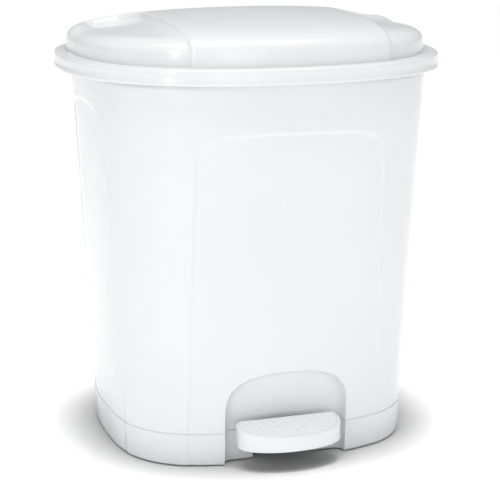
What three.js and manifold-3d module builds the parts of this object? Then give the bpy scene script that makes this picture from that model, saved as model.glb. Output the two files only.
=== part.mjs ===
// Pedal trash can: moulded shell on a base plinth, domed lid on rear hinge pins, lift-out bucket
// with a wire bail, and a pedal whose lever raises a push rod under the lid's heel.
// Millimetres, +Z up, front towards -Y, origin on the floor under the middle of the can.

import * as THREE from "three";
import { mergeVertices } from "three/addons/utils/BufferGeometryUtils.js";
import Module from "manifold-3d";

const wasm = await Module();
wasm.setup();

// Fits
const gap = 0.3;
const runningGap = 0.35;
const reachPast = 60;

// Body: a rounded box in plan that widens upwards
const bodyHeight = 372;
const bodyTopHalfWidth = 167;
const bodyTopHalfDepth = 152;
const widthDraft = 17;
const depthDraft = 22;
const bodyExponent = 2.95;
const planSteps = 56;
const archSteps = 14;
const roundSides = 18;
const wall = 2.5;
const shellFloorZ = 58;
const shellFloorThickness = 3;

// Base plinth
const footClearance = 1.5;
const plinthHeight = 33;
const plinthStep = 0.8;
const plateThickness = 3;
const padRadius = 10;
const padHeight = 3.3;
const padInsetX = 58;
const padInsetY = 46;

// Lid
const lidOverhang = 19;
const lidExponent = 2.4;
const skirtHeight = 14.5;
const skirtBead = 0.8;
const ledgeWidth = 12;
const domeSideRise = 30;
const domeCrownRise = 10;
const domeExponent = 6;
const domeSpacing = 0.6;
const domeFlatShare = 0.5;
const wingDrop = 5;
const backFall = 8;
const centreBandHalfWidth = 96;
const wingEndY = 62;
const flangeThickness = 2.5;
const skirtClearance = 2;

// Panels and the toe recess in the faces
const panelDepth = 1.2;
const frontPanelTopHalfWidth = 92.5;
const frontPanelFootHalfWidth = 98;
const frontPanelSpringZ = 284;
const frontPanelRise = 40;
const sidePanelHalfWidth = 66;
const sidePanelSpringZ = 296;
const sidePanelRise = 48;
const panelExponent = 3.5;
const recessHalfWidth = 62;
const recessSpringZ = 52;
const recessRise = 39.6;
const recessExponent = 2.6;
const recessDepth = 13.8;
const recessRound = 7;
const slotHalfWidth = 30;
const slotTopZ = 41;

// Hinge at the back, below the lid's skirt
const hingeBehindWall = 8;
const hingeBelowSkirt = 6;
const hingeBarrelRadius = 5.5;
const hingePinRadius = 2;
const knuckleInnerX = 42;
const knuckleLength = 16;
const earThickness = 6;
const heelReach = 17.5;
const heelNoseRadius = 3.5;
const heelHalfWidth = 6;
const notchClearance = 3;
const lidOpenAngle = THREE.MathUtils.degToRad(75);

// Pedal and lever
const pedalHalfWidth = 52;
const pedalReach = 33;
const pedalDepth = 38;
const pedalSideRun = 12;
const pedalBackZ = 44;
const pedalFrontZ = 35;
const pedalLipBottomZ = 20.7;
const pedalWall = 3;
const pedalBossHeight = 5;
const pedalBossRadius = 5;
const pedalScrewX = 14;
const pedalScrewFromBack = 16;
const leverPivotFromFoot = 50;
const leverPivotZ = 27;
const leverFrontHalfWidth = 24;
const leverHubHalfWidth = 26;
const leverRearHalfWidth = 11;
const leverThickness = 8;
const leverPlateThickness = 5;
const leverHubRadius = 8;
const pivotPinRadius = 3;
const saddleThickness = 12;
const saddleGap = 5;
const keeperHeight = 9;

// Push rod
const rodRadius = 3;
const rodFromFootBack = 12;
const rodFootRadius = 5;
const rodFootHalfWidth = 8;
const rodCapHalfWidth = 8;
const rodCapHalfDepth = 5;
const rodCapHeight = 10;
const rodSocketDepth = 6;
const rodContactGap = 0.9;
const eyeRadius = 6.5;
const eyeHeight = 8;

// Screws
const screwInsetX = 38;
const screwY = 40;
const screwShankRadius = 1.9;
const screwHeadRadius = 3.9;
const screwHeadHeight = 2.8;
const screwSeatZ = 21;
const screwLength = 21;
const plinthBossRadius = 8;
const shellBossRadius = 6.5;
const pedalScrewLength = 11;

// Bucket
const bucketTopBelowSkirt = 1.5;
const bucketWall = 2;
const bucketTopInset = 20.5;
const bucketFootInset = 40;
const bucketRimWidth = 3;
const bucketRimThickness = 2.5;
const bucketForward = 2;
const bailWireRadius = 1.8;
const bailEarThickness = 3;
const bailEarHalfLength = 8;
const bailEarHeight = 7;
const gripRadius = 4.5;
const gripHalfLength = 34;
const gripSteps = 6;
const bailSteps = 28;
const bailSides = 8;

// Places worked out from the sizes above
const hingeY = bodyTopHalfDepth + hingeBehindWall;
const hingeZ = bodyHeight - hingeBelowSkirt;
const lidHalfWidth = bodyTopHalfWidth + lidOverhang;
const ledgeTopZ = bodyHeight + skirtHeight;
const ledgeUnderZ = ledgeTopZ - wall;
const rimTopZ = ledgeUnderZ - gap;
const domeHalfWidth = lidHalfWidth - ledgeWidth;
const domeRise = domeSideRise + domeCrownRise;
const shellBottomZ = plinthHeight + gap;
const shellFloorTopZ = shellFloorZ + shellFloorThickness;
const plateTopZ = footClearance + plateThickness;
const footHalfWidth = bodyTopHalfWidth - widthDraft;
const footHalfDepth = bodyTopHalfDepth - depthDraft;
const heelDrop = heelReach * Math.tan(lidOpenAngle / 2);
const heelNoseY = hingeY - heelReach;
const heelNoseZ = hingeZ - heelDrop;
const rodLift = 2 * heelDrop;
const pedalBackY = -(footHalfDepth + pedalReach - pedalDepth);
const leverPivotY = -(footHalfDepth - leverPivotFromFoot);
const rodFootY = footHalfDepth - rodFromFootBack;
const leverRearZ = leverPivotZ - rodLift / 2;

function halfWidthAt(z) {
  return footHalfWidth + (widthDraft * z) / bodyHeight;
}

function halfDepthAt(z) {
  return footHalfDepth + (depthDraft * z) / bodyHeight;
}

// Depth over width of the plan; the lid keeps the ratio of the body's top.
function planRatioAt(z) {
  const level = Math.min(z, bodyHeight);
  return halfDepthAt(level) / halfWidthAt(level);
}

// The body's plan is squarer than the lid's; the shell's rim above the body follows the lid.
function exponentAt(z) {
  return z > bodyHeight ? lidExponent : bodyExponent;
}

function lidExponentAt() {
  return lidExponent;
}

function bulge(value, exponent) {
  return Math.sign(value) * Math.abs(value) ** (2 / exponent);
}

// Closed solids and booleans

function toSolid(geometry) {
  const bare = geometry.clone();
  bare.deleteAttribute("normal");
  bare.deleteAttribute("uv");
  const welded = mergeVertices(bare, 1e-4);
  const corners = welded.index.array;
  const kept = [];
  for (let i = 0; i < corners.length; i += 3) {
    const [a, b, c] = corners.slice(i, i + 3);
    if (a !== b && b !== c && c !== a) {
      kept.push(a, b, c);
    }
  }
  return new wasm.Manifold(new wasm.Mesh({
    numProp: 3,
    vertProperties: new Float32Array(welded.attributes.position.array),
    triVerts: new Uint32Array(kept),
  }));
}

function join(...solids) {
  return solids.reduce((whole, next) => whole.add(next));
}

function cut(solid, ...tools) {
  return tools.reduce((whole, tool) => whole.subtract(tool), solid);
}

function toGeometry(solid) {
  const mesh = solid.getMesh();
  const geometry = new THREE.BufferGeometry();
  geometry.setAttribute("position", new THREE.BufferAttribute(mesh.vertProperties, 3));
  geometry.setIndex(new THREE.BufferAttribute(mesh.triVerts, 1));
  geometry.computeVertexNormals();
  return geometry;
}

function block([x0, x1], [y0, y1], [z0, z1]) {
  const box = new THREE.BoxGeometry(x1 - x0, y1 - y0, z1 - z0);
  box.translate((x0 + x1) / 2, (y0 + y1) / 2, (z0 + z1) / 2);
  return toSolid(box);
}

function rodAlongZ(radius, x, y, z0, z1) {
  const cylinder = new THREE.CylinderGeometry(radius, radius, z1 - z0, roundSides);
  cylinder.rotateX(Math.PI / 2);
  cylinder.translate(x, y, (z0 + z1) / 2);
  return toSolid(cylinder);
}

function rodAlongX(radius, x0, x1, y, z) {
  const cylinder = new THREE.CylinderGeometry(radius, radius, x1 - x0, roundSides);
  cylinder.rotateZ(Math.PI / 2);
  cylinder.translate((x0 + x1) / 2, y, z);
  return toSolid(cylinder);
}

// A prism of a (y, z) outline from x0 to x1
function sidePrism(outline, x0, x1) {
  const shape = new THREE.Shape(outline.map(([y, z]) => new THREE.Vector2(y, z)));
  const prism = new THREE.ExtrudeGeometry(shape, { depth: x1 - x0, bevelEnabled: false });
  prism.rotateX(Math.PI / 2);
  prism.rotateZ(Math.PI / 2);
  prism.translate(x0, 0, 0);
  return toSolid(prism);
}

// A prism of an (x, y) shape from z0 to z1
function planPrism(shape, z0, z1) {
  const prism = new THREE.ExtrudeGeometry(shape, {
    depth: z1 - z0,
    bevelEnabled: false,
    curveSegments: archSteps,
  });
  prism.translate(0, 0, z0);
  return toSolid(prism);
}

// A profile of (half width, z) carried round the plan curve
function planLoft(profile, exponentOf = exponentAt, reshape = (x, y, z) => z) {
  const points = profile.map(([radius, z]) => new THREE.Vector2(radius, z));
  const lathe = new THREE.LatheGeometry(points, planSteps);
  const at = lathe.attributes.position;
  for (let i = 0; i < at.count; i += 1) {
    const z = at.getY(i);
    const radius = Math.hypot(at.getX(i), at.getZ(i));
    const angle = Math.atan2(at.getX(i), at.getZ(i));
    const exponent = exponentOf(z);
    const x = radius * bulge(Math.sin(angle), exponent);
    const y = -radius * planRatioAt(z) * bulge(Math.cos(angle), exponent);
    at.setXYZ(i, x, y, reshape(x, y, z));
  }
  return toSolid(lathe);
}

// The body's outside, shrunk by an inset, as a filled solid between two heights
function filledBody(z0, z1, inset) {
  return planLoft([
    [0, z0],
    [halfWidthAt(z0) - inset, z0],
    [halfWidthAt(z1) - inset, z1],
    [0, z1],
  ]);
}

// An outline with straight sides that closes in a rounded top
function archShape(footHalf, topHalf, springZ, rise, exponent) {
  const points = [new THREE.Vector2(footHalf, -reachPast), new THREE.Vector2(footHalf, 0)];
  for (let i = 0; i <= archSteps; i += 1) {
    const angle = (Math.PI * i) / archSteps;
    const across = Math.sign(Math.cos(angle)) * Math.abs(Math.cos(angle)) ** (2 / exponent);
    const up = Math.abs(Math.sin(angle)) ** (2 / exponent);
    points.push(new THREE.Vector2(topHalf * across, springZ + rise * up));
  }
  points.push(new THREE.Vector2(-footHalf, 0), new THREE.Vector2(-footHalf, -reachPast));
  return new THREE.Shape(points);
}

// Where a piece is thinned by a shallow panel: the skin of the body inside the panel's outline
function panelSkins(z0, z1, proud) {
  const skin = cut(filledBody(z0, z1, -proud - 1), filledBody(z0, z1, panelDepth - proud));
  const front = new THREE.ExtrudeGeometry(
    archShape(
      frontPanelFootHalfWidth,
      frontPanelTopHalfWidth,
      frontPanelSpringZ,
      frontPanelRise,
      panelExponent,
    ),
    { depth: bodyTopHalfDepth + reachPast, bevelEnabled: false },
  );
  front.rotateX(Math.PI / 2);
  const side = new THREE.ExtrudeGeometry(
    archShape(
      sidePanelHalfWidth,
      sidePanelHalfWidth,
      sidePanelSpringZ,
      sidePanelRise,
      panelExponent,
    ),
    { depth: 2 * (bodyTopHalfWidth + reachPast), bevelEnabled: false },
  );
  side.translate(0, 0, -bodyTopHalfWidth - reachPast);
  side.rotateX(Math.PI / 2);
  side.rotateZ(Math.PI / 2);
  return [skin.intersect(toSolid(front)), skin.intersect(toSolid(side))];
}

// The toe recess, grown on its sides, top and back by a wall; it leans back with the front face
function recessTool(grow) {
  const shape = archShape(
    recessHalfWidth + grow,
    recessHalfWidth + grow,
    recessSpringZ,
    recessRise + grow,
    recessExponent,
  );
  const tool = new THREE.ExtrudeGeometry(shape, {
    depth: reachPast,
    bevelThickness: recessRound,
    bevelSize: recessRound,
    bevelOffset: -recessRound,
    bevelSegments: 2,
  });
  tool.rotateX(Math.PI / 2);
  tool.translate(0, -recessRound, 0);
  tool.rotateX(Math.atan(depthDraft / bodyHeight));
  tool.translate(0, recessDepth + grow - footHalfDepth, 0);
  return toSolid(tool);
}

const recess = recessTool(0);
const recessLining = cut(recessTool(wall), recess);

function leverSlot(z0, z1) {
  const backY = leverPivotY - leverHubRadius - saddleGap;
  return block([-slotHalfWidth, slotHalfWidth], [-footHalfDepth - reachPast, backY], [z0, z1]);
}

const cornerSigns = [[-1, -1], [1, -1], [1, 1], [-1, 1]];
const screwPlaces = cornerSigns.map(([sx, sy]) => [sx * (footHalfWidth - screwInsetX), sy * screwY]);
const padPlaces = cornerSigns.map(([sx, sy]) => [
  sx * (footHalfWidth - padInsetX),
  sy * (footHalfDepth - padInsetY),
]);

// The push rod's line, from its foot on the lever to its cap under the lid's heel
const rodFootZ = leverTopAt(rodFootY) + rodContactGap + rodFootRadius;
const rodCapTopZ = heelNoseZ - heelNoseRadius - rodContactGap;
const rodCapY = heelNoseY - rodContactGap;
const rodLean = Math.atan((rodCapY - rodFootY) / (rodCapTopZ - rodFootZ));
const rodSpan = (rodCapTopZ - rodFootZ) / Math.cos(rodLean);

function leverTopAt(y) {
  const run = (y - leverPivotY) / (rodFootY - leverPivotY);
  return leverPivotZ + (leverRearZ - leverPivotZ) * run + leverThickness / 2;
}

// A cylinder on the push rod's line, between two distances up from its foot
function alongRod(radius, from, to) {
  const cylinder = new THREE.CylinderGeometry(radius, radius, to - from, roundSides);
  cylinder.rotateX(Math.PI / 2);
  cylinder.translate(0, 0, (from + to) / 2);
  cylinder.rotateX(-rodLean);
  cylinder.translate(0, rodFootY, rodFootZ);
  return toSolid(cylinder);
}

// Hinge knuckles and ears repeat on both sides of the middle
const sides = [["left", -1], ["right", 1]];

function hingeSpan(side, from, to) {
  return side < 0 ? [-to, -from] : [from, to];
}

function rodEye(z) {
  const y = rodFootY + (z - rodFootZ) * Math.tan(rodLean);
  const wallY = halfDepthAt(z) - wall;
  const eye = rodAlongZ(eyeRadius, 0, y, z, z + eyeHeight);
  return join(eye, block([-eyeRadius, eyeRadius], [y, wallY + wall / 2], [z, z + eyeHeight]));
}

function makeOuterShell() {
  const inner = (z) => halfWidthAt(z) - wall;
  const flangeOuter = lidHalfWidth - wall - skirtClearance;
  const flangeUnderZ = rimTopZ - flangeThickness;
  let shell = planLoft([
    [0, shellFloorTopZ],
    [inner(shellFloorTopZ), shellFloorTopZ],
    [inner(bodyHeight), bodyHeight],
    [inner(rimTopZ), rimTopZ],
    [flangeOuter, rimTopZ],
    [flangeOuter, flangeUnderZ],
    [halfWidthAt(flangeUnderZ), flangeUnderZ],
    [halfWidthAt(bodyHeight), bodyHeight],
    [halfWidthAt(shellBottomZ), shellBottomZ],
    [inner(shellBottomZ), shellBottomZ],
    [inner(shellFloorZ), shellFloorZ],
    [0, shellFloorZ],
  ].reverse());
  const recessTopZ = recessSpringZ + recessRise + wall + reachPast;
  const lining = recessLining.intersect(filledBody(shellBottomZ, recessTopZ, 0));
  shell = cut(shell, ...panelSkins(shellBottomZ, bodyHeight, 0), recess);
  shell = join(shell, lining);
  for (const [x, y] of screwPlaces) {
    shell = join(shell, rodAlongZ(shellBossRadius, x, y, shellBottomZ, shellFloorZ + gap));
    const pilotTopZ = screwSeatZ + screwLength + 1;
    shell = cut(shell, rodAlongZ(screwShankRadius + gap, x, y, 0, pilotTopZ));
  }
  for (const z of [(shellFloorZ + bodyHeight) / 4, (3 * bodyHeight) / 4]) {
    shell = join(shell, rodEye(z));
  }
  shell = cut(shell, alongRod(rodRadius + runningGap, 0, rodSpan), leverSlot(0, slotTopZ));
  for (const [, side] of sides) {
    const starts = [knuckleInnerX - gap - earThickness, knuckleInnerX + knuckleLength + gap];
    for (const start of starts) {
      const [x0, x1] = hingeSpan(side, start, start + earThickness);
      const wallY = halfDepthAt(hingeZ) - wall - depthAllowance(start + earThickness);
      const zRange = [hingeZ - hingeBarrelRadius, hingeZ + hingeBarrelRadius];
      const arm = block([x0, x1], [wallY, hingeY], zRange);
      shell = join(shell, arm, rodAlongX(hingeBarrelRadius, x0, x1, hingeY, hingeZ));
    }
    const [p0, p1] = hingeSpan(side, 0, knuckleInnerX + knuckleLength + reachPast);
    shell = cut(shell, rodAlongX(hingePinRadius + gap, p0, p1, hingeY, hingeZ));
  }
  const notchHalf = heelHalfWidth + notchClearance;
  const notch = block(
    [-notchHalf, notchHalf],
    [heelNoseY, hingeY + lidOverhang],
    [bodyHeight - gap, rimTopZ + 1],
  );
  const backCut = block(
    [-bodyTopHalfWidth, bodyTopHalfWidth],
    [hingeY + hingePinRadius, hingeY + lidOverhang],
    [bodyHeight, rimTopZ + 1],
  );
  return cut(shell, notch, backCut);
}

// How far the back wall has curved forward at a distance from the middle
function depthAllowance(x) {
  const share = Math.min(1, x / bodyTopHalfWidth);
  return bodyTopHalfDepth * (1 - (1 - share ** bodyExponent) ** (1 / bodyExponent));
}

function makeBasePlinth() {
  const outer = (z) => halfWidthAt(z) + plinthStep;
  const inner = (z) => halfWidthAt(z) - wall;
  let base = planLoft([
    [0, plateTopZ],
    [inner(plateTopZ), plateTopZ],
    [inner(plinthHeight), plinthHeight],
    [outer(plinthHeight), plinthHeight],
    [outer(footClearance), footClearance],
    [0, footClearance],
  ].reverse());
  const lining = recessLining.intersect(filledBody(footClearance, plinthHeight, -plinthStep));
  base = cut(base, ...panelSkins(0, plinthHeight + 1, plinthStep), recess);
  base = join(base, lining);
  base = cut(base, leverSlot(0, slotTopZ));
  const windowHalf = leverHubHalfWidth;
  const windowFrontY = leverPivotY + leverHubRadius + saddleThickness;
  base = cut(base, block([-windowHalf, windowHalf], [windowFrontY, rodFootY - eyeHeight * 2], [0, plateTopZ + 1]));
  for (const [, side] of sides) {
    const start = leverHubHalfWidth + saddleGap;
    const [x0, x1] = hingeSpan(side, start, start + saddleThickness);
    const half = leverHubRadius + 1;
    const saddle = block([x0, x1], [leverPivotY - half, leverPivotY + half], [plateTopZ - 1, leverPivotZ]);
    base = join(base, saddle);
  }
  const pinSpan = leverHubHalfWidth + saddleGap + saddleThickness + 1;
  base = cut(base, rodAlongX(pivotPinRadius + gap, -pinSpan, pinSpan, leverPivotY, leverPivotZ));
  for (const [x, y] of screwPlaces) {
    base = join(base, rodAlongZ(plinthBossRadius, x, y, plateTopZ - 1, plinthHeight));
    base = cut(base, rodAlongZ(screwHeadRadius + gap, x, y, 0, screwSeatZ));
    base = cut(base, rodAlongZ(screwShankRadius + gap, x, y, 0, plinthHeight + 1));
  }
  for (const [x, y] of padPlaces) {
    base = cut(base, rodAlongZ(padRadius + gap, x, y, 0, padHeight + gap));
  }
  return base;
}

// The dome's section from crown to foot, a drop and an inset away from its highest outside
function domeSection(drop, inset) {
  const sideRise = domeSideRise - drop - inset;
  const halfWidth = domeHalfWidth - inset;
  const steps = 7;
  const points = [[0, ledgeTopZ + sideRise + domeCrownRise]];
  for (let i = 0; i <= steps; i += 1) {
    const angle = (Math.PI / 2) * (i / steps) ** domeSpacing;
    const spread = Math.max(domeFlatShare, Math.sin(angle) ** (2 / domeExponent));
    const up = (1 - Math.min(1, spread) ** domeExponent) ** (1 / domeExponent);
    points.push([spread * halfWidth, ledgeTopZ + sideRise * up + domeCrownRise * (1 - spread ** 2)]);
  }
  return points;
}

function smooth(from, to, value) {
  const t = Math.min(1, Math.max(0, (value - from) / (to - from)));
  return t * t * (3 - 2 * t);
}

// The dome's top falls to the back.
function leanBack(x, y, z) {
  const up = smooth(ledgeTopZ, ledgeTopZ + domeSideRise, z);
  return z - up * backFall * smooth(0, bodyTopHalfDepth, y);
}

function lidLoft(profile) {
  return planLoft(profile, lidExponentAt, leanBack);
}

// The dome, filled: lower wings at the front on both sides of a centre band, which widens at the back
function filledDome(inset, bottomZ) {
  const dome = (drop) => lidLoft([
    [0, bottomZ],
    [domeHalfWidth - inset, bottomZ],
    ...domeSection(drop, inset).reverse(),
  ]);
  const bandHalf = centreBandHalfWidth - inset;
  const band = block(
    [-bandHalf, bandHalf],
    [-bodyTopHalfDepth - reachPast, bodyTopHalfDepth + reachPast],
    [bottomZ - 1, ledgeTopZ + domeRise + 1],
  );
  const back = block(
    [-lidHalfWidth, lidHalfWidth],
    [wingEndY + inset, bodyTopHalfDepth + reachPast],
    [bottomZ - 1, ledgeTopZ + domeRise + 1],
  );
  return join(dome(wingDrop), dome(0).intersect(join(band, back)));
}

function filledSkirt(inset, bottomZ, topZ) {
  return lidLoft([
    [0, bottomZ],
    [lidHalfWidth - inset, bottomZ],
    [lidHalfWidth - inset, topZ],
    [0, topZ],
  ]);
}

function makeLid() {
  const skirt = lidLoft([
    [0, bodyHeight],
    [lidHalfWidth, bodyHeight],
    [lidHalfWidth + skirtBead, bodyHeight + skirtBead],
    [lidHalfWidth + skirtBead, bodyHeight + skirtBead * 3],
    [lidHalfWidth, bodyHeight + skirtBead * 4],
    [lidHalfWidth, ledgeTopZ - skirtBead * 2],
    [lidHalfWidth - skirtBead * 2, ledgeTopZ],
    [0, ledgeTopZ],
  ]);
  const hollow = join(filledSkirt(wall, bodyHeight - 1, ledgeUnderZ), filledDome(wall, bodyHeight));
  let lid = cut(join(skirt, filledDome(0, bodyHeight + 1)), hollow);
  const outside = join(filledSkirt(wall / 2, bodyHeight, ledgeTopZ), filledDome(wall / 2, bodyHeight));
  const frontY = heelNoseY - heelNoseRadius;
  const backY = heelNoseY + heelNoseRadius;
  const heelTopZ = ledgeTopZ + domeSideRise / 3;
  const heel = sidePrism([
    [frontY, heelNoseZ],
    [backY, heelNoseZ],
    [backY, ledgeUnderZ],
    [hingeY + lidOverhang, ledgeUnderZ],
    [hingeY + lidOverhang, heelTopZ],
    [frontY, heelTopZ],
  ], -heelHalfWidth, heelHalfWidth);
  const nose = rodAlongX(heelNoseRadius, -heelHalfWidth, heelHalfWidth, heelNoseY, heelNoseZ);
  const shank = block([-heelHalfWidth, heelHalfWidth], [frontY, backY], [heelNoseZ, bodyHeight + 1]);
  lid = join(lid, heel.intersect(outside), shank, nose);
  for (const [, side] of sides) {
    const [x0, x1] = hingeSpan(side, knuckleInnerX, knuckleInnerX + knuckleLength);
    const tabTopZ = rimTopZ - flangeThickness - skirtClearance;
    const tab = block([x0, x1], [hingeY, hingeY + lidOverhang], [bodyHeight - 1, tabTopZ]);
    const root = block([x0, x1], [hingeY, hingeY + hingeBarrelRadius], [hingeZ, bodyHeight + 1]);
    const barrel = rodAlongX(hingeBarrelRadius, x0, x1, hingeY, hingeZ);
    lid = join(lid, tab.intersect(outside), root, barrel);
    lid = cut(lid, rodAlongX(hingePinRadius + gap, x0 - 1, x1 + 1, hingeY, hingeZ));
  }
  return lid;
}

function makeHingePin(side) {
  const from = knuckleInnerX - gap - earThickness;
  const to = knuckleInnerX + knuckleLength + gap + earThickness;
  const [x0, x1] = hingeSpan(side, from, to);
  return rodAlongX(hingePinRadius, x0, x1, hingeY, hingeZ);
}

const bucketTopZ = bodyHeight - bucketTopBelowSkirt;
const bucketFootZ = shellFloorTopZ + gap;
const bucketTopHalf = bodyTopHalfWidth - bucketTopInset;
const bucketRimHalf = bucketTopHalf + bucketRimWidth;
const bailReach = (bucketTopHalf - bucketWall) * planRatioAt(bucketTopZ) - gripRadius;
const bailPivotZ = bucketTopZ + bailWireRadius + gap;
const bailHalfWidth = bucketRimHalf + bailEarThickness + bailWireRadius;

function makeInnerBucket() {
  const footHalf = footHalfWidth - bucketFootInset;
  let bucket = planLoft([
    [0, bucketFootZ],
    [footHalf, bucketFootZ],
    [bucketTopHalf, bucketTopZ - bucketRimThickness],
    [bucketRimHalf, bucketTopZ - bucketRimThickness],
    [bucketRimHalf, bucketTopZ],
    [bucketTopHalf - bucketWall, bucketTopZ],
    [footHalf - bucketWall, bucketFootZ + bucketWall],
    [0, bucketFootZ + bucketWall],
  ]);
  for (const [, side] of sides) {
    const [x0, x1] = hingeSpan(side, bucketRimHalf - bailEarThickness, bucketRimHalf);
    const zRange = [bucketTopZ - bucketRimThickness, bucketTopZ + bailEarHeight];
    bucket = join(bucket, block([x0, x1], [-bailEarHalfLength, bailEarHalfLength], zRange));
    const [h0, h1] = hingeSpan(side, bucketTopHalf - reachPast / 2, bucketRimHalf + 1);
    bucket = cut(bucket, rodAlongX(bailWireRadius + gap, h0, h1, 0, bailPivotZ));
  }
  return bucket.translate([0, -bucketForward, 0]);
}

function bailPoint(angle) {
  return new THREE.Vector3(
    bailHalfWidth * bulge(Math.cos(angle), bodyExponent),
    -bucketForward - bailReach * Math.abs(bulge(Math.sin(angle), bodyExponent)),
    bailPivotZ,
  );
}

function bailTube(radius, from, to, steps, sidesRound) {
  const points = Array.from({ length: steps + 1 }, (_, i) => bailPoint(from + ((to - from) * i) / steps));
  const section = new THREE.Shape(Array.from({ length: sidesRound }, (_, i) => {
    const angle = (2 * Math.PI * i) / sidesRound;
    return new THREE.Vector2(radius * Math.cos(angle), radius * Math.sin(angle));
  }));
  const path = new THREE.CatmullRomCurve3(points);
  return toSolid(new THREE.ExtrudeGeometry(section, { steps, extrudePath: path, bevelEnabled: false }));
}

function makeBucketBail() {
  let bail = bailTube(bailWireRadius, 0, Math.PI, bailSteps, bailSides);
  for (const [, side] of sides) {
    const inner = bucketRimHalf - bailEarThickness - 2 * bailWireRadius;
    const [x0, x1] = hingeSpan(side, inner, bailHalfWidth + bailWireRadius / 2);
    bail = join(bail, rodAlongX(bailWireRadius, x0, x1, -bucketForward, bailPivotZ));
  }
  return bail;
}

function makeBailGrip() {
  const halfAngle = Math.asin((gripHalfLength / bailHalfWidth) ** (bodyExponent / 2));
  const from = Math.PI / 2 - halfAngle;
  const to = Math.PI / 2 + halfAngle;
  const past = halfAngle / 8;
  const grip = bailTube(gripRadius, from, to, gripSteps, roundSides);
  return cut(grip, bailTube(bailWireRadius + gap, from - past, to + past, gripSteps, roundSides));
}

// Height of the tread's top at a place front to back
function treadTopAt(y) {
  return pedalBackZ - treadSlope * (pedalBackY - y);
}

function pedalPlan(inset, backY) {
  const half = pedalHalfWidth - inset;
  const arcY = pedalBackY - pedalSideRun;
  const shape = new THREE.Shape();
  shape.moveTo(half, backY);
  shape.lineTo(-half, backY);
  shape.absellipse(0, arcY, half, pedalDepth - pedalSideRun - inset, Math.PI, 2 * Math.PI, false);
  return shape;
}

function underTread(drop, bottomZ) {
  const frontY = pedalBackY - pedalDepth - 1;
  const backY = pedalBackY + 1;
  return sidePrism([
    [backY, bottomZ],
    [backY, treadTopAt(backY) - drop],
    [frontY, treadTopAt(frontY) - drop],
    [frontY, bottomZ],
  ], -pedalHalfWidth - 1, pedalHalfWidth + 1);
}

const treadSlope = (pedalBackZ - pedalFrontZ) / pedalDepth;
const plateDrop = pedalWall + pedalBossHeight + gap + pedalBossRadius * treadSlope;
const pedalScrewY = pedalBackY - pedalScrewFromBack;
const pedalBossBottomZ = treadTopAt(pedalScrewY) - pedalWall - pedalBossHeight;

function makePedalTread() {
  const outside = planPrism(pedalPlan(0, pedalBackY), 0, reachPast).intersect(underTread(0, pedalLipBottomZ));
  const hollow = planPrism(pedalPlan(pedalWall, pedalBackY + 1), 0, reachPast)
    .intersect(underTread(pedalWall, pedalLipBottomZ - 1));
  let tread = cut(outside, hollow);
  for (const [, side] of sides) {
    const x = side * pedalScrewX;
    const undersideZ = treadTopAt(pedalScrewY) - pedalWall;
    tread = join(tread, rodAlongZ(pedalBossRadius, x, pedalScrewY, pedalBossBottomZ, undersideZ + 1));
    tread = cut(tread, rodAlongZ(screwShankRadius + gap, x, pedalScrewY, 0, undersideZ));
  }
  return tread;
}

function makePedalLever() {
  const tipY = pedalBackY - pedalDepth + pedalWall * 3;
  const slotY = recessDepth - footHalfDepth;
  const hubFront = leverPivotY - leverHubRadius;
  const hubBack = leverPivotY + leverHubRadius;
  const rearY = rodFootY + rodFootRadius;
  const profile = sidePrism([
    [tipY, treadTopAt(tipY) - plateDrop],
    [slotY, treadTopAt(slotY) - plateDrop - 1],
    [hubFront, leverPivotZ + leverHubRadius - 1],
    [leverPivotY, leverPivotZ + leverHubRadius],
    [hubBack, leverTopAt(hubBack) + 1],
    [rearY, leverTopAt(rearY)],
    [rearY, leverTopAt(rearY) - leverThickness],
    [hubBack, leverTopAt(hubBack) - leverThickness - 1],
    [leverPivotY, leverPivotZ - leverHubRadius],
    [hubFront, leverPivotZ - leverHubRadius + 1],
    [slotY, treadTopAt(slotY) - plateDrop - leverPlateThickness - 1],
    [tipY, treadTopAt(tipY) - plateDrop - leverPlateThickness],
  ].reverse(), -leverHubHalfWidth, leverHubHalfWidth);
  const plan = new THREE.Shape([
    [leverFrontHalfWidth, tipY],
    [leverFrontHalfWidth, hubFront],
    [leverHubHalfWidth, hubFront + 2],
    [leverHubHalfWidth, hubBack],
    [leverRearHalfWidth, hubBack + leverRearHalfWidth * 4],
    [leverRearHalfWidth, rearY],
    [-leverRearHalfWidth, rearY],
    [-leverRearHalfWidth, hubBack + leverRearHalfWidth * 4],
    [-leverHubHalfWidth, hubBack],
    [-leverHubHalfWidth, hubFront + 2],
    [-leverFrontHalfWidth, hubFront],
    [-leverFrontHalfWidth, tipY],
  ].map(([x, y]) => new THREE.Vector2(x, y)));
  let lever = profile.intersect(planPrism(plan, 0, reachPast));
  const bore = leverHubHalfWidth + 1;
  lever = cut(lever, rodAlongX(pivotPinRadius + gap, -bore, bore, leverPivotY, leverPivotZ));
  for (const [, side] of sides) {
    lever = cut(lever, rodAlongZ(screwShankRadius + gap, side * pedalScrewX, pedalScrewY, 0, reachPast));
  }
  return lever;
}

function makeScrew(seatZ, length, x, y) {
  const head = rodAlongZ(screwHeadRadius, x, y, seatZ - gap - screwHeadHeight, seatZ - gap);
  const shank = rodAlongZ(screwShankRadius, x, y, seatZ - 1, seatZ - gap + length);
  const drive = screwHeadRadius / 2;
  const slit = screwHeadRadius / 8;
  const depth = [seatZ - gap - screwHeadHeight - 1, seatZ - gap - screwHeadHeight / 2];
  return cut(
    join(head, shank),
    block([x - drive, x + drive], [y - slit, y + slit], depth),
    block([x - slit, x + slit], [y - drive, y + drive], depth),
  );
}

function makePivotPin() {
  const half = leverHubHalfWidth + saddleGap + saddleThickness;
  return rodAlongX(pivotPinRadius, -half, half, leverPivotY, leverPivotZ);
}

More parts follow.
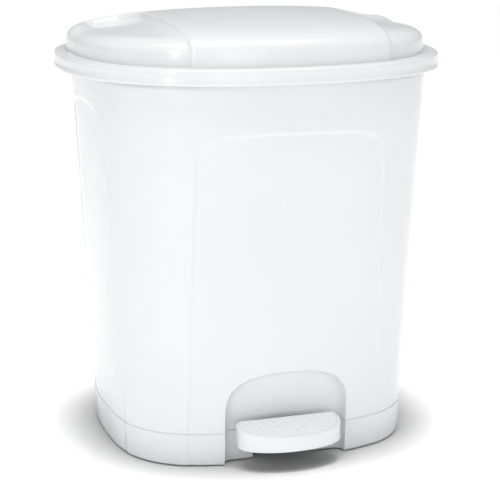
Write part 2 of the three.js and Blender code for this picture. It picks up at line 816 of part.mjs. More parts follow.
function makePinKeeper(side) {
  const start = leverHubHalfWidth + saddleGap;
  const [x0, x1] = hingeSpan(side, start, start + saddleThickness);
  const half = leverHubRadius + 1;
  const keeper = block(
    [x0, x1],
    [leverPivotY - half, leverPivotY + half],
    [leverPivotZ + gap, leverPivotZ + keeperHeight],
  );
  return cut(keeper, rodAlongX(pivotPinRadius + gap, x0 - 1, x1 + 1, leverPivotY, leverPivotZ));
}

function makeFootPad([x, y]) {
  return rodAlongZ(padRadius, x, y, 0, padHeight);
}

// The rod's pieces are made upright on the origin and stand in a leaning group.
function makePushRod() {
  return rodAlongZ(rodRadius, 0, 0, gap, rodSpan - rodCapHeight + rodSocketDepth - gap);
}

function makeRodFoot() {
  const shoe = rodAlongX(rodFootRadius, -rodFootHalfWidth, rodFootHalfWidth, 0, 0);
  const socketZ = [0, rodFootRadius];
  const body = block([-rodFootHalfWidth, rodFootHalfWidth], [-rodFootRadius, rodFootRadius], socketZ);
  return cut(join(shoe, body), rodAlongZ(rodRadius + gap, 0, 0, 0, reachPast));
}

function makeRodCap() {
  const cap = block(
    [-rodCapHalfWidth, rodCapHalfWidth],
    [-rodCapHalfDepth, rodCapHalfDepth],
    [rodSpan - rodCapHeight, rodSpan],
  );
  return cut(cap, rodAlongZ(rodRadius + gap, 0, 0, 0, rodSpan - rodCapHeight + rodSocketDepth));
}

// Materials

function material(colour, roughness, metalness = 0) {
  return new THREE.MeshStandardMaterial({ color: colour, roughness, metalness });
}

const glossWhite = () => material(0xf1f2f3, 0.25);
const satinWhite = () => material(0xe6e8ea, 0.4);
const greyPlastic = () => material(0x9a9ea3, 0.45);
const darkPlastic = () => material(0x4c4f54, 0.5);
const zincSteel = () => material(0xb9bcc0, 0.3, 1);
const blackRubber = () => material(0x222325, 0.85);

const can = new THREE.Group();

function place(parent, name, solid, finish) {
  const mesh = new THREE.Mesh(toGeometry(solid), finish);
  mesh.name = name;
  parent.add(mesh);
}

place(can, "outer_shell", makeOuterShell(), glossWhite());
place(can, "base_plinth", makeBasePlinth(), glossWhite());
place(can, "lid", makeLid(), glossWhite());
place(can, "inner_bucket", makeInnerBucket(), satinWhite());
place(can, "bucket_bail", makeBucketBail(), zincSteel());
place(can, "bail_grip", makeBailGrip(), satinWhite());
place(can, "pedal_tread", makePedalTread(), glossWhite());
place(can, "pedal_lever", makePedalLever(), greyPlastic());
place(can, "lever_pivot_pin", makePivotPin(), zincSteel());
for (const [label, side] of sides) {
  place(can, `hinge_pin_${label}`, makeHingePin(side), zincSteel());
  place(can, `pin_keeper_${label}`, makePinKeeper(side), greyPlastic());
  const seatZ = treadTopAt(pedalScrewY - screwHeadRadius) - plateDrop - leverPlateThickness - 1;
  const screw = makeScrew(seatZ, pedalScrewLength, side * pedalScrewX, pedalScrewY);
  place(can, `pedal_screw_${label}`, screw, zincSteel());
}
screwPlaces.forEach(([x, y], i) => {
  place(can, `base_screw_${i + 1}`, makeScrew(screwSeatZ, screwLength, x, y), zincSteel());
});
padPlaces.forEach((spot, i) => {
  place(can, `foot_pad_${i + 1}`, makeFootPad(spot), blackRubber());
});

const rodGroup = new THREE.Group();
rodGroup.position.set(0, rodFootY, rodFootZ);
rodGroup.rotation.x = -rodLean;
place(rodGroup, "push_rod", makePushRod(), zincSteel());
place(rodGroup, "rod_foot", makeRodFoot(), darkPlastic());
place(rodGroup, "rod_cap", makeRodCap(), darkPlastic());
can.add(rodGroup);

export default can;
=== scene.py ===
import math
import bmesh
import bpy
import numpy as np
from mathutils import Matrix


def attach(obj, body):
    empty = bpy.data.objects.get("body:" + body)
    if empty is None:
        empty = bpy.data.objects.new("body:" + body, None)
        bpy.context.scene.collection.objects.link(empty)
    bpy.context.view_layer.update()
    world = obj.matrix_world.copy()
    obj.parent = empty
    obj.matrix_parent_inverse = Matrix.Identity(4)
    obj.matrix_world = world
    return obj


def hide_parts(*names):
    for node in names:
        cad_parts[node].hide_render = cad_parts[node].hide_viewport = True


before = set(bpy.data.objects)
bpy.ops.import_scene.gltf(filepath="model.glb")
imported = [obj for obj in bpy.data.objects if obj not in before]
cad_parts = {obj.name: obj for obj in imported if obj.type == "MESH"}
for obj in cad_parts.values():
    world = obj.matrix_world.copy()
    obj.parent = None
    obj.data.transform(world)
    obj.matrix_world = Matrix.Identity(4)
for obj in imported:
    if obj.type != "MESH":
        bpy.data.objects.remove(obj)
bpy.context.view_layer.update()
print("frame loaded")

millimetres = 1000.0  # in one metre; lengths below are in millimetres unless a note says metres

# The camera, in metres and degrees

viewing = {
    "turn": 18.15, "distance": 1.5645, "height": 0.5609, "tilt": 13.67,
    "lens": 113.3, "sensor": 36.0, "shift": 0.01,
}


def makeCamera():
    # stands on a circle round the object, turned by the circle's angle and tilted down
    camera = bpy.data.cameras.new("studioCamera")
    camera.lens = viewing["lens"]
    camera.sensor_width = viewing["sensor"]
    camera.shift_x = viewing["shift"]
    turn, tilt = math.radians(viewing["turn"]), math.radians(viewing["tilt"])
    across, away = viewing["distance"] * math.sin(turn), viewing["distance"] * math.cos(turn)
    holder = bpy.data.objects.new("studioCamera", camera)
    holder.location = (-across, -away, viewing["height"])
    holder.rotation_euler = (math.pi / 2 - tilt, 0.0, -turn)
    bpy.context.scene.collection.objects.link(holder)
    bpy.context.scene.camera = holder


# Shader wiring


class Wire:  # a socket's value, so that finishes can be written as sums
    def __init__(self, finish, socket):
        self.finish, self.socket = finish, socket

    def __add__(self, other):
        return self.finish.maths("ADD", self, other)

    def __sub__(self, other):
        return self.finish.maths("SUBTRACT", self, other)

    def __rsub__(self, other):
        return self.finish.maths("SUBTRACT", other, self)

    def __mul__(self, other):
        return self.finish.maths("MULTIPLY", self, other)

    __radd__ = __add__
    __rmul__ = __mul__


class Finish:  # one material, wired from code
    def __init__(self, name):
        self.material = bpy.data.materials.new(name)
        self.material.use_nodes = True
        self.tree = self.material.node_tree
        self.tree.nodes.clear()
        self.shader = self.tree.nodes.new("ShaderNodeBsdfPrincipled")
        ending = self.tree.nodes.new("ShaderNodeOutputMaterial")
        self.tree.links.new(self.shader.outputs[0], ending.inputs["Surface"])
        self.place = self.node("ShaderNodeTexCoord", give="Object")

    def plug(self, socket, value):
        # a wire becomes a link, anything else the socket's own value
        if isinstance(value, Wire):
            self.tree.links.new(value.socket, socket)
        else:
            socket.default_value = value

    def node(self, kind, settings=None, sockets=None, give=0):
        # settings first, then the sockets; the wire that comes back is the output named by give
        made = self.tree.nodes.new(kind)
        for key, value in (settings or {}).items():
            if key == "stops":
                for i, (at, shade) in enumerate(value):
                    stop = made.color_ramp.elements[i] if i < 2 else made.color_ramp.elements.new(at)
                    stop.position, stop.color = at, (shade, shade, shade, 1.0)
            else:
                setattr(made, key, value)
        for key, value in (sockets or {}).items():
            self.plug(made.inputs[key], value)
        return Wire(self, made.outputs[give])

    def maths(self, operation, a, b):
        return self.node("ShaderNodeMath", {"operation": operation}, {0: a, 1: b})

    def noise(self, scale, detail=2.0, stretch=None):
        # cloudy noise; a stretch below one draws it out along that axis
        where = self.place
        if stretch:
            where = self.node("ShaderNodeMapping", None, {"Vector": self.place, "Scale": stretch})
        sockets = {"Vector": where, "Scale": scale, "Detail": detail}
        return self.node("ShaderNodeTexNoise", None, sockets, give="Fac")

    def ramp(self, value, stops):
        return self.node("ShaderNodeValToRGB", {"stops": stops}, {"Fac": value})

    def along(self, axis):
        # the place on the object along one axis, in metres
        return self.node("ShaderNodeSeparateXYZ", None, {"Vector": self.place}, give=axis)

    def blend(self, amount, first, second):
        return self.node("ShaderNodeMix", {"data_type": "RGBA"}, {0: amount, 6: first, 7: second}, give=2)

    def bump(self, height, distance, strength=1.0, below=None):
        # relief in metres, laid over the relief below it
        sockets = {"Height": height, "Distance": distance, "Strength": strength}
        if below is not None:
            sockets["Normal"] = below
        return self.node("ShaderNodeBump", None, sockets, give="Normal")

    def put(self, **sockets):
        for key, value in sockets.items():
            self.plug(self.shader.inputs[key.replace("_", " ")], value)


def tint(r, g, b):  # a colour with full cover
    return (r, g, b, 1.0)


# The finishes: a noise is scale, detail and stretch; a relief is depth in metres and strength

plastic = {
    "mottle": (9.0, 3.0), "mottleEdge": [(0.35, 0.0), (0.68, 1.0)], "mottleRough": 0.05,
    "rubbed": (60.0, 6.0, (1.0, 1.0, 0.35)), "rubbedEdge": [(0.52, 0.0), (0.72, 1.0)],
    "scuffEdge": [(0.15, 1.0), (1.0, 0.0)], "scuffTint": tint(0.56, 0.56, 0.55),
    "scuffShare": 0.08, "scuffRough": 0.12,
    "hairs": (420.0, 2.0, (1.0, 1.0, 0.05)), "hairEdge": [(0.62, 0.0), (0.78, 1.0)], "hairRough": 0.06,
    "waves": (14.0, 1.0), "waveDepth": 0.0007, "waveStrength": 0.55,
    "peel": (520.0, 2.0), "peelDepth": 0.00003, "peelStrength": 0.5,
    "hairDepth": 0.00001, "hairStrength": 0.25, "bending": 1.49, "shine": 0.5,
    # the field's tint and stops below paint shade onto the tread's sunken field, in place of real shade
    "fieldShadeTint": tint(0.82, 0.858, 0.87), "fieldScale": 0.5,
    "fieldStart": [(0.2, 0.0), (0.4, 1.0)], "fieldEnd": [(0.5, 1.0), (0.75, 0.0)],
}


def glossPlastic(name, colour, shade, gloss, peel=1.0, scuffTop=0.03, sunkenShade=None):
    # glossy moulded plastic: faint mottling, long soft waves, fine orange peel and hairline scratches,
    # with scuffs that fade out at scuffTop, in metres over the floor, and painted shade on a sunken field when
    # one is given
    f, look = Finish(name), plastic
    mottle = f.ramp(f.noise(*look["mottle"]), look["mottleEdge"])
    low = f.ramp(f.along("Z") * (1.0 / scuffTop), look["scuffEdge"])
    rubbed = f.ramp(f.noise(*look["rubbed"]), look["rubbedEdge"])
    scuff = low * rubbed
    clean = f.blend(mottle, colour, shade)
    if sunkenShade:
        # painted shade: the field below a sloping rim is painted a cooler grey by its depth under the rim's
        # plane, standing in for the shade and cool reflection it takes there
        backZ, backY, slope = sunkenShade
        under = backZ - (backY - f.along("Y") * millimetres) * slope - f.along("Z") * millimetres
        inField = f.ramp(under * look["fieldScale"], look["fieldStart"])
        onTop = f.ramp(under * look["fieldScale"], look["fieldEnd"])
        clean = f.blend(inField * onTop, clean, look["fieldShadeTint"])
    f.put(Base_Color=f.blend(scuff * look["scuffShare"], clean, look["scuffTint"]))
    hairs = f.ramp(f.noise(*look["hairs"]), look["hairEdge"])
    rough = gloss + mottle * look["mottleRough"] + hairs * look["hairRough"]
    f.put(Roughness=rough + scuff * look["scuffRough"])
    waves = f.bump(f.noise(*look["waves"]), look["waveDepth"], look["waveStrength"] * peel)
    skin = f.bump(f.noise(*look["peel"]), look["peelDepth"], look["peelStrength"] * peel, waves)
    f.put(Normal=f.bump(hairs, look["hairDepth"], look["hairStrength"], skin))
    f.put(IOR=look["bending"], Specular_IOR_Level=look["shine"])
    return f.material


satin = {
    "cloud": (18.0, 4.0), "cloudEdge": [(0.3, 0.0), (0.7, 1.0)], "cloudRough": 0.08,
    "spark": (900.0, 3.0), "sparkRough": 0.1, "sparkDepth": 0.00006, "sparkStrength": 0.6,
    "waves": (40.0,), "waveDepth": 0.0002, "waveStrength": 0.3,
}


def satinPlastic(name, colour, shade, rough):
    # satin plastic: a fine sparked grain over slow colour change
    f, look = Finish(name), satin
    cloud = f.ramp(f.noise(*look["cloud"]), look["cloudEdge"])
    f.put(Base_Color=f.blend(cloud, colour, shade))
    spark = f.noise(*look["spark"])
    f.put(Roughness=rough + cloud * look["cloudRough"] + spark * look["sparkRough"])
    waves = f.bump(f.noise(*look["waves"]), look["waveDepth"], look["waveStrength"])
    f.put(Normal=f.bump(spark, look["sparkDepth"], look["sparkStrength"], waves))
    return f.material


zinc = {
    "cloud": (35.0, 5.0), "cloudEdge": [(0.3, 0.0), (0.75, 1.0)], "cloudRough": 0.06,
    "spots": (210.0, 4.0), "spotEdge": [(0.6, 0.0), (0.75, 1.0)], "spotRough": 0.2,
    "bright": tint(0.62, 0.63, 0.66), "dull": tint(0.5, 0.51, 0.53), "rough": 0.24,
    "drawnScale": 900.0, "drawnDetail": 2.0, "drawnRough": 0.14, "drawnDepth": 0.00003, "drawnStrength": 0.5,
}


def zincSteel(name, stretch):
    # zinc-plated steel: drawn lines along the piece, cloudy plating and a few dull spots
    f, look = Finish(name), zinc
    cloud = f.ramp(f.noise(*look["cloud"]), look["cloudEdge"])
    spots = f.ramp(f.noise(*look["spots"]), look["spotEdge"])
    f.put(Base_Color=f.blend(cloud, look["bright"], look["dull"]))
    drawn = f.noise(look["drawnScale"], look["drawnDetail"], stretch)
    rough = look["rough"] + drawn * look["drawnRough"] + spots * look["spotRough"]
    f.put(Roughness=rough + cloud * look["cloudRough"], Metallic=1.0)
    f.put(Normal=f.bump(drawn, look["drawnDepth"], look["drawnStrength"]))
    return f.material


rubber = {
    "bloom": (55.0, 6.0), "bloomEdge": [(0.4, 0.0), (0.75, 1.0)],
    "black": tint(0.02, 0.02, 0.021), "chalk": tint(0.06, 0.06, 0.062),
    "grain": (1400.0, 3.0), "rough": 0.72, "grainRough": 0.2, "grainDepth": 0.00012, "grainStrength": 0.7,
}


def blackRubber(name):
    # moulded rubber: near black, with a chalky bloom and a coarse matt grain
    f, look = Finish(name), rubber
    bloom = f.ramp(f.noise(*look["bloom"]), look["bloomEdge"])
    grain = f.noise(*look["grain"])
    f.put(Base_Color=f.blend(bloom, look["black"], look["chalk"]))
    f.put(Roughness=look["rough"] + grain * look["grainRough"])
    f.put(Normal=f.bump(grain, look["grainDepth"], look["grainStrength"]))
    return f.material


whiteGloss = glossPlastic("whiteGloss", tint(0.785, 0.796, 0.804), tint(0.765, 0.778, 0.79), 0.13)
whiteBucket = satinPlastic("whiteBucket", tint(0.8, 0.81, 0.82), tint(0.76, 0.77, 0.785), 0.34)
greyMoulded = satinPlastic("greyMoulded", tint(0.3, 0.31, 0.325), tint(0.24, 0.25, 0.265), 0.42)
darkNylon = satinPlastic("darkNylon", tint(0.06, 0.062, 0.067), tint(0.04, 0.041, 0.046), 0.48)
steelAcross = zincSteel("steelAcross", (0.04, 1.0, 1.0))
steelUpright = zincSteel("steelUpright", (1.0, 1.0, 0.04))
padRubber = blackRubber("padRubber")
print("finishes made")

# Surfaces from arrays

welding = {"reach": 2e-6}  # metres


def gridFaces(rows, columns):
    # each cell of the grid joins a vertex, its neighbour round the row, and the two above them
    r, c = np.meshgrid(np.arange(rows - 1), np.arange(columns), indexing="ij")
    d = (c + 1) % columns
    low, high = r * columns, (r + 1) * columns
    return np.stack([low + c, low + d, high + d, high + c], -1).reshape(-1, 4)


def addPiece(name, points, faces, body, finish, sharp, stands=()):
    # points in millimetres become a mesh in metres; cells that fold up at a pole are welded shut
    mesh = bpy.data.meshes.new(name)
    mesh.from_pydata((np.asarray(points) / millimetres).tolist(), [], [list(f) for f in faces])
    work = bmesh.new()
    work.from_mesh(mesh)
    bmesh.ops.remove_doubles(work, verts=work.verts, dist=welding["reach"])
    bmesh.ops.dissolve_degenerate(work, edges=work.edges, dist=welding["reach"])
    loose = [v for v in work.verts if not v.link_faces]
    bmesh.ops.delete(work, geom=loose, context="VERTS")
    work.to_mesh(mesh)
    work.free()
    mesh.polygons.foreach_set("use_smooth", np.ones(len(mesh.polygons), dtype=bool))
    mesh.set_sharp_from_angle(angle=math.radians(sharp))
    mesh.materials.append(finish)
    piece = bpy.data.objects.new(name, mesh)
    bpy.context.scene.collection.objects.link(piece)
    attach(piece, body)
    if stands:
        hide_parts(*stands)
    print(name, len(mesh.polygons), "faces")
    return piece


def smooth(low, high, value):
    # an S-shaped rise from 0 at low to 1 at high
    t = np.clip((value - low) / (high - low), 0.0, 1.0)
    return t * t * (3.0 - 2.0 * t)


def spread(stops):
    # stations from the first stop to the last, with the spacing that each stretch asks for
    parts = []
    for (a, step), (b, _) in zip(stops, stops[1:]):
        count = max(2, int(round(abs(b - a) / step)) + 1)
        parts.append(np.linspace(a, b, count)[:-1])
    return np.concatenate(parts + [[stops[-1][0]]])


def bulge(value, roundness):
    # a sine or cosine raised to two over the roundness, with its sign kept
    return np.sign(value) * np.abs(value) ** (2.0 / roundness)


def planPoint(angle, halfWidth, halfDepth, roundness):
    # a rounded rectangle: the angle's sine and cosine raised to two over the roundness
    return halfWidth * bulge(np.sin(angle), roundness), -halfDepth * bulge(np.cos(angle), roundness)


def planShare(x, y, halfWidth, halfDepth, roundness):
    # how far out a point lies in such a plan: 0 at the middle and 1 on the outline
    total = np.abs(x / halfWidth) ** roundness + np.abs(y / halfDepth) ** roundness
    return total ** (1 / roundness)


spacing = {"fine": 24001, "frontReach": 108.0, "sideReach": 84.0}


def planAngles(halfWidth, halfDepth, roundness, frontStep, sideStep, cornerStep):
    # angles spaced by length round the outline, closer on the front and the side panels; a multiple of four
    fine = np.linspace(-math.pi, math.pi, spacing["fine"])
    x, y = planPoint(fine, halfWidth, halfDepth, roundness)
    front = (y < 0) & (np.abs(x) < spacing["frontReach"])
    side = np.abs(y) < spacing["sideReach"]
    step = np.where(front, frontStep, np.where(side, sideStep, cornerStep))
    length = np.hypot(np.diff(x), np.diff(y)) / step[1:]
    run = np.concatenate([[0.0], np.cumsum(length)])
    count = int(round(run[-1] / 4.0)) * 4
    return np.interp(np.arange(count) * run[-1] / count, run, fine)


def cadTriangles(node, keep):
    # the node's own triangles, in millimetres, whose middle passes the test
    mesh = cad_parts[node].data
    points = np.empty(len(mesh.vertices) * 3)
    mesh.vertices.foreach_get("co", points)
    points = points.reshape(-1, 3) * millimetres
    mesh.calc_loop_triangles()
    corners = np.empty(len(mesh.loop_triangles) * 3, dtype=np.int32)
    mesh.loop_triangles.foreach_get("vertices", corners)
    corners = corners.reshape(-1, 3)
    middles = points[corners].mean(axis=1)
    return points, corners[keep(middles, points[corners])]


def joined(*pairs):
    # several point and face sets as one
    points, faces, start = [], [], 0
    for p, f in pairs:
        points.append(p)
        faces.extend((np.asarray(f) + start).tolist())
        start += len(p)
    return np.concatenate(points), faces


def tube(path, run, radii, sides):
    # a circle carried along a level path, square to the run, with its faces turned outwards
    run = run / np.linalg.norm(run, axis=1, keepdims=True)
    up = np.array([0.0, 0.0, 1.0])
    out = np.cross(run, up)
    turn = np.arange(sides) * 2 * math.pi / sides
    ring = out[:, None, :] * np.cos(turn)[None, :, None] + up * np.sin(turn)[None, :, None]
    points = (path[:, None, :] + ring * radii[:, None, None]).reshape(-1, 3)
    faces = gridFaces(len(path), sides)
    if signedVolume(points, faces) < 0:
        faces = faces[:, ::-1]
    return points, faces


def signedVolume(points, faces):
    # six times the volume inside, from the triple product of each face's corners; below 0 when inside out
    a, b, c, d = (points[faces[:, k]] for k in range(4))
    halves = np.einsum("ij,ij->i", a, np.cross(b, c)) + np.einsum("ij,ij->i", a, np.cross(c, d))
    return float(halves.sum())

# The body's walls, shared by the shell and the plinth

body = {
    "footHalfWidth": 150.0, "topHalfWidth": 167.0, "footHalfDepth": 130.0, "topHalfDepth": 152.0,
    "height": 372.0, "roundness": 2.95, "lidRoundness": 2.4, "wall": 2.5,
    "frontStep": 1.7, "sideStep": 2.6, "cornerStep": 4.5, "facingReach": 118.0, "besideReach": 92.0,
    "panelDepth": 1.25, "panelSlope": 2.2, "frontSnap": 0.52, "sideSnap": 0.5,
    "frontFootHalf": 98.0, "frontTopHalf": 92.5, "frontSpring": 290.0, "frontRise": 34.5, "frontBend": 4.2,
    "sideHalf": 66.0, "sideSpring": 296.0, "sideRise": 48.0, "sideBend": 3.0,
    "recessHalf": 62.0, "recessSpring": 52.0, "recessRise": 39.6, "recessBend": 2.6,
    "recessDepth": 13.8, "recessRound": 10.0, "recessSnap": 0.88,
    "recessLevels": [0.0, -1.7, -3.4, -5.1, -6.8, -8.5],
    "slotHalf": 30.0, "slotTop": 41.0, "slotFront": -90.0, "slotEdgeHalf": 31.0, "slotEdgeIn": 6.0,
    "meanHalfWidth": 160.0, "meanHalfDepth": 142.0,
}


def bodySize(z, inset):
    # half width and half depth at a height, both straight from the foot's to the top's
    t = z / body["height"]
    width = body["footHalfWidth"] + (body["topHalfWidth"] - body["footHalfWidth"]) * t
    depth = body["footHalfDepth"] + (body["topHalfDepth"] - body["footHalfDepth"]) * t
    return width - inset, (width - inset) * depth / width


def depthInWall(middle):
    # how far in from the body's outer face a point lies
    x, y, z = middle.T
    width, depth = bodySize(z, 0.0)
    return (1.0 - planShare(x, y, width, depth, body["roundness"])) * np.minimum(width, depth)


def archDistance(across, height, half, spring, rise, bend):
    # distance to an outline with straight sides and a rounded top, negative inside, and the way out of it:
    # the level set of two powers, divided by the length of its slope
    up = np.maximum(height - spring, 0.0) / rise
    side = np.abs(across) / half
    level = np.maximum((side ** bend + up ** bend) ** (1.0 / bend), 0.05)
    gx = side ** (bend - 1) * level ** (1 - bend) / half
    gz = up ** (bend - 1) * level ** (1 - bend) / rise
    size = np.maximum(np.hypot(gx, gz), 1e-4)
    return (level - 1.0) / size, np.sign(across) * gx / size, gz / size


def snapTo(across, height, arch, levels, reach):
    # vertices near an outline slide onto it, so its edge is drawn by whole cells
    distance, nx, nz = arch(across, height)
    for level in levels:
        near = np.abs(distance - level) < reach
        across = np.where(near, across - (distance - level) * nx, across)
        height = np.where(near, height - (distance - level) * nz, height)
    return across, height


def frontPanel(x, z):
    # the arch of the front panel, whose sides lean in a little towards the top
    up = np.clip(z / body["frontSpring"], 0, 1)
    half = body["frontFootHalf"] + (body["frontTopHalf"] - body["frontFootHalf"]) * up
    return archDistance(x, z, half, body["frontSpring"], body["frontRise"], body["frontBend"])


def sidePanel(y, z):
    # the arch of a side panel, straight up
    return archDistance(y, z, body["sideHalf"], body["sideSpring"], body["sideRise"], body["sideBend"])


def recessArch(x, z, grow=0.0):
    # the arch of the toe recess, grown by the wall for its inner face
    half, rise = body["recessHalf"] + grow, body["recessRise"] + grow
    return archDistance(x, z, half, body["recessSpring"], rise, body["recessBend"])


def bodyWall(angles, heights, inset, outside=True):
    # the rounded plan at each height, stepped in over the panels and scooped back inside the recess
    roundness, step = body["roundness"], body["panelSlope"]
    z = np.repeat(heights[:, None], len(angles), axis=1)
    width, depth = bodySize(z, inset)
    x, y = planPoint(angles[None, :], width, depth, roundness)
    facing = (y < 0) & (np.abs(x) < body["facingReach"])
    beside = (np.abs(y) < body["besideReach"]) & ~facing
    if outside:
        # the outlines' vertices slide in the face, and then go back onto the plan's own curve
        lowest, highest = heights.min(), heights.max()
        atEnd = (z <= lowest) | (z >= highest)
        fx, fz = snapTo(x, z, frontPanel, (0.0, -step), body["frontStep"] * body["frontSnap"])
        fx, fz = snapTo(fx, fz, recessArch, body["recessLevels"], body["recessSnap"])
        fz = np.where(atEnd, z, np.clip(fz, lowest, highest))
        x, z = np.where(facing, fx, x), np.where(facing, fz, z)
        sy, sz = snapTo(y, z, sidePanel, (0.0, -step), body["sideStep"] * body["sideSnap"])
        sz = np.where(atEnd, z, np.clip(sz, lowest, highest))
        y, z = np.where(beside, sy, y), np.where(beside, sz, z)
        width, depth = bodySize(z, inset)
        share = np.clip(np.abs(x) / width, 0, 0.999)
        y = np.where(facing, -depth * (1.0 - share ** roundness) ** (1.0 / roundness), y)
        share = np.clip(np.abs(y) / depth, 0, 0.999)
        x = np.where(beside, np.sign(x) * width * (1.0 - share ** roundness) ** (1.0 / roundness), x)
    sunk = smooth(0.0, step, -frontPanel(x, z)[0]) * body["panelDepth"]
    frontY = np.where(facing, y + sunk, y)
    sunk = smooth(0.0, step, -sidePanel(y, z)[0]) * body["panelDepth"]
    x = np.where(beside, x - np.sign(x) * sunk, x)
    grow = 0.0 if outside else body["wall"]
    into = np.clip(-recessArch(x, z, grow)[0] / body["recessRound"], 0.0, 1.0)
    scoop = np.sqrt(1.0 - (1.0 - into) ** 2)
    forward = body["topHalfDepth"] - body["footHalfDepth"]
    back = body["recessDepth"] - body["footHalfDepth"] + grow - z * forward / body["height"]
    y = np.where(facing, frontY + (back - frontY) * scoop, frontY)
    return np.stack([x, y, z], axis=-1)


def dropSlot(points, faces, topZ):
    # the opening in the back of the recess that the lever comes through
    x, y, z = points[faces].mean(axis=1).T
    inSlot = (np.abs(x) < body["slotHalf"]) & (y < body["slotFront"]) & (z < topZ)
    return faces[~inSlot]


bodyAngles = planAngles(
    body["meanHalfWidth"], body["meanHalfDepth"], body["roundness"],
    body["frontStep"], body["sideStep"], body["cornerStep"])

shell = {
    "bottom": 33.3, "floorUnder": 58.0, "floorTop": 61.0, "flangeUnder": 381.2, "rimTop": 383.7, "rimEdge": 0.7,
    "flangeHalf": 181.5, "backCut": 162.0, "notchHalf": 9.6, "notchZ": 371.7, "hingeSide": 120.0,
    "outerRows": [(33.3, 1.5), (98.0, 7.5), (286.0, 1.7), (350.0, 5.5), (372.0, 1.0)], "skirtRow": 45.0,
    "innerRows": [(372.0, 14.0), (100.0, 4.0), (61.0, 4.0)], "sharp": 58.0,
    "bossIn": 8.0, "bossFront": -100.0, "earOut": -1.2, "eyeIn": 3.2, "eyeHalf": 20.0, "eyeSide": 100.0,
}


def shellRing(half, ratioAt, z):
    # one level ring of the flange, with the body's proportions at a height and cut straight behind the hinge
    width, depth = bodySize(ratioAt, 0.0)
    x, y = planPoint(bodyAngles, half, half * depth / width, body["lidRoundness"])
    return np.stack([x, np.minimum(y, shell["backCut"]), np.full_like(x, z)], -1)[None]


def bodyRing(z, inset):
    # a ring of the flange that meets the body's wall
    width, _ = bodySize(z, inset)
    return shellRing(width, min(z, body["height"]), z)


def isShellDetail(middle, corners):
    # eyes, bosses, ears and the slot's edges, which stand off the walls
    x, y, z = middle.T
    size, off = shell, depthInWall(middle)
    bosses = (z < size["floorUnder"] - 0.5) & (off > size["bossIn"]) & (y > size["bossFront"])
    ears = (off < size["earOut"]) & (y > size["hingeSide"]) & (z < size["notchZ"] + 0.5)
    eyeHeight = (z > size["floorTop"] + 1.0) & (z < body["height"] - 1.0)
    eyes = eyeHeight & (off > size["eyeIn"]) & (y > size["eyeSide"]) & (np.abs(x) < size["eyeHalf"])
    slotSpan = (np.abs(x) < body["slotEdgeHalf"]) & (y < body["slotFront"]) & (z < body["slotTop"] + 1.0)
    slotEdge = slotSpan & (off > body["slotEdgeIn"])
    return bosses | ears | eyes | slotEdge


def makeShell():
    # one profile carried round the plan: from the floor's underside down the inside of the foot, up the outer
    # face, over the flange, down the inside and in to the middle of the floor
    size, wall = shell, body["wall"]
    lowRows = np.array([size["floorUnder"], size["skirtRow"], size["bottom"]])
    lowInner = bodyWall(bodyAngles, lowRows, wall, False)
    outer = bodyWall(bodyAngles, spread(size["outerRows"]), 0.0)
    inner = bodyWall(bodyAngles, spread(size["innerRows"]), wall, False)
    under, top, edge = size["flangeUnder"], size["rimTop"], size["rimEdge"]
    half, height = size["flangeHalf"], body["height"]
    flange = [
        bodyRing(under, 0.0),
        shellRing(half - edge, height, under),
        shellRing(half, height, under + edge),
        shellRing(half, height, top - edge),
        shellRing(half - edge, height, top),
        bodyRing(top, wall - edge),
        bodyRing(top - edge, wall),
    ]
    middle = np.zeros((1, len(bodyAngles), 3))
    underMiddle, topMiddle = middle + [0.0, 0.0, size["floorUnder"]], middle + [0.0, 0.0, size["floorTop"]]
    grid = np.concatenate([underMiddle, lowInner, outer] + flange + [inner, topMiddle])
    points = grid.reshape(-1, 3)
    faces = dropSlot(points, gridFaces(*grid.shape[:2]), body["slotTop"])
    x, y, z = points[faces].mean(axis=1).T
    notch = (np.abs(x) < size["notchHalf"]) & (y > size["hingeSide"]) & (z > size["notchZ"])
    points, faces = joined((points, faces[~notch]), cadTriangles("outer_shell", isShellDetail))
    addPiece("shellSkin", points, faces, "body", whiteGloss, size["sharp"], ("outer_shell",))


plinth = {
    "foot": 1.5, "top": 33.0, "proud": 0.75, "plateTop": 4.5, "edge": 0.5, "row": 1.5, "meanHalf": 150.0,
    "detailIn": 4.5, "recessSide": -108.0, "recessReach": 66.0, "slotTop": 90.0, "sharp": 58.0,
}


def isPlinthDetail(middle, corners):
    # the plate and what stands on it, without the recess's own wall
    x, y, z = middle.T
    size, off = plinth, depthInWall(middle)
    beforeSlot = (np.abs(x) < body["slotEdgeHalf"]) & (off > body["slotEdgeIn"])
    nearRecess = (y < size["recessSide"]) & (np.abs(x) < size["recessReach"]) & (z > size["foot"] + 0.2)
    plate = corners[:, :, 2].max(axis=1) < size["plateTop"] + 0.2
    return (plate | (off > size["detailIn"])) & ~(nearRecess & ~beforeSlot)


def makePlinth():
    # the body's wall once more, standing a little proud, with a small slope at its foot and top
    size, low, high, edge = plinth, plinth["foot"], plinth["top"], plinth["edge"]
    rows = spread([(low + edge, size["row"]), (high - edge, size["row"])])
    outer = bodyWall(bodyAngles, rows, -size["proud"])
    back = bodyWall(bodyAngles, np.array([high, size["plateTop"]]), body["wall"], False)

    def slopeRing(ring, z):
        shrunk = ring[:, :2] * (1.0 - edge / size["meanHalf"])
        return np.column_stack([shrunk, np.full(len(ring), z)])[None]

    grid = np.concatenate([slopeRing(outer[0], low), outer, slopeRing(outer[-1], high), back])
    points = grid.reshape(-1, 3)
    faces = dropSlot(points, gridFaces(*grid.shape[:2]), size["slotTop"])
    points, faces = joined((points, faces), cadTriangles("base_plinth", isPlinthDetail))
    addPiece("plinthSkin", points, faces, "body", whiteGloss, size["sharp"], ("base_plinth",))


makeShell()
makePlinth()

# The lid

